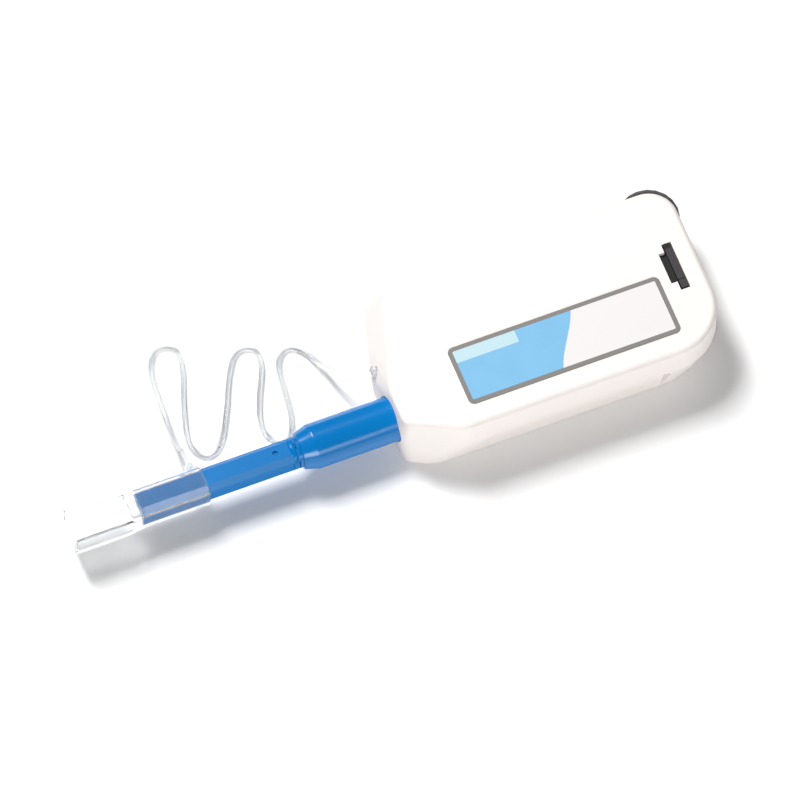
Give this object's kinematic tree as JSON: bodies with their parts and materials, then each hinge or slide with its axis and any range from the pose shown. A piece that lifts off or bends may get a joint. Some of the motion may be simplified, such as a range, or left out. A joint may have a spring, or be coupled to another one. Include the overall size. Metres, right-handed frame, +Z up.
{
  "type": "fibre connector cleaning pen",
  "caption": "Flat push-action cleaning pen for fibre connectors, with a round nozzle, a tethered clear guide cap, thread reels inside and a thumb dial at the back corner.",
  "frame": {"origin": "on the underside, straight below the nozzle's axis at the middle of the body's length", "axes": "+X from the nozzle towards the back of the body, +Y towards the side with the tether and the dial, +Z up out of the labelled face"},
  "size_m": [0.1098, 0.0376, 0.0127],
  "materials": {
    "ivory_plastic": "satin moulding",
    "label_film": "satin printed film",
    "blue_plastic": "semi-gloss moulding",
    "clear_plastic": "clear moulding",
    "grey_plastic": "matte moulding",
    "white_plastic": "matte moulding",
    "steel": "drawn steel",
    "thread": "woven micro-fibre thread",
    "felt": "pressed felt",
    "clear_cord": "clear cord"
  },
  "bodies": {
    "housing": {"bottom_shell": "ivory_plastic", "top_shell": "ivory_plastic", "label_plate": "label_film", "inner_chassis": "grey_plastic", "supply_axle": "steel", "take_up_axle": "steel", "dial_axle": "steel", "brake_washer": "felt", "ratchet_pawl": "white_plastic", "thread_guide_pins": "steel", "feed_thread": "thread", "return_thread": "thread", "return_spring": "steel", "tether_bead": "clear_plastic", "tether_cord": "clear_cord"},
    "nozzle": {"nozzle_sleeve": "blue_plastic", "nozzle_tube": "blue_plastic", "cam_pin": "steel", "drive_slide": "white_plastic"},
    "cleaning_tip": {"tip_shaft": "white_plastic", "spiral_barrel": "white_plastic", "tip_head": "white_plastic"},
    "supply": {"supply_reel": "white_plastic", "supply_winding": "thread"},
    "take_up": {"take_up_reel": "white_plastic", "take_up_winding": "thread"},
    "dial": {"take_up_dial": "grey_plastic"},
    "cap": {"guide_cap": "clear_plastic", "cap_lug": "clear_plastic"}
  },
  "joints": [
    {"name": "nozzle_push", "type": "slide", "parent": "housing", "child": "nozzle", "axis": [1, 0, 0], "range_m": [0, 0.005], "stiffness_N_per_m": 800, "springref_m": -0.003, "deforming": ["return_spring"]},
    {"name": "tip_turn", "type": "hinge", "parent": "housing", "child": "cleaning_tip", "pos_m": [0, 0, 0.0063], "axis": [-1, 0, 0], "range_deg": [0, 180]},
    {"name": "take_up_turn", "type": "hinge", "parent": "housing", "child": "take_up", "pos_m": [0.0178, 0.0103, 0], "axis": [0, 0, 1], "range_deg": [0, 48]},
    {"name": "supply_turn", "type": "hinge", "parent": "housing", "child": "supply", "pos_m": [-0.0075, 0.0103, 0], "axis": [0, 0, 1], "range_deg": [0, 30]},
    {"name": "dial_turn", "type": "hinge", "parent": "housing", "child": "dial", "pos_m": [0.0233, 0.01678, 0], "axis": [0, 0, 1], "range_deg": [-115, 0]},
    {"name": "cap_pull", "type": "slide", "parent": "nozzle", "child": "cap", "axis": [-1, 0, 0], "range_m": [0, 0.025]}
  ],
  "couplings": [
    {"joint": "tip_turn", "follows": "nozzle_push", "rad_per_m": 628.32},
    {"joint": "take_up_turn", "follows": "nozzle_push", "rad_per_m": 166.67},
    {"joint": "supply_turn", "follows": "nozzle_push", "rad_per_m": 101.19},
    {"joint": "dial_turn", "follows": "nozzle_push", "rad_per_m": -400}
  ]
}
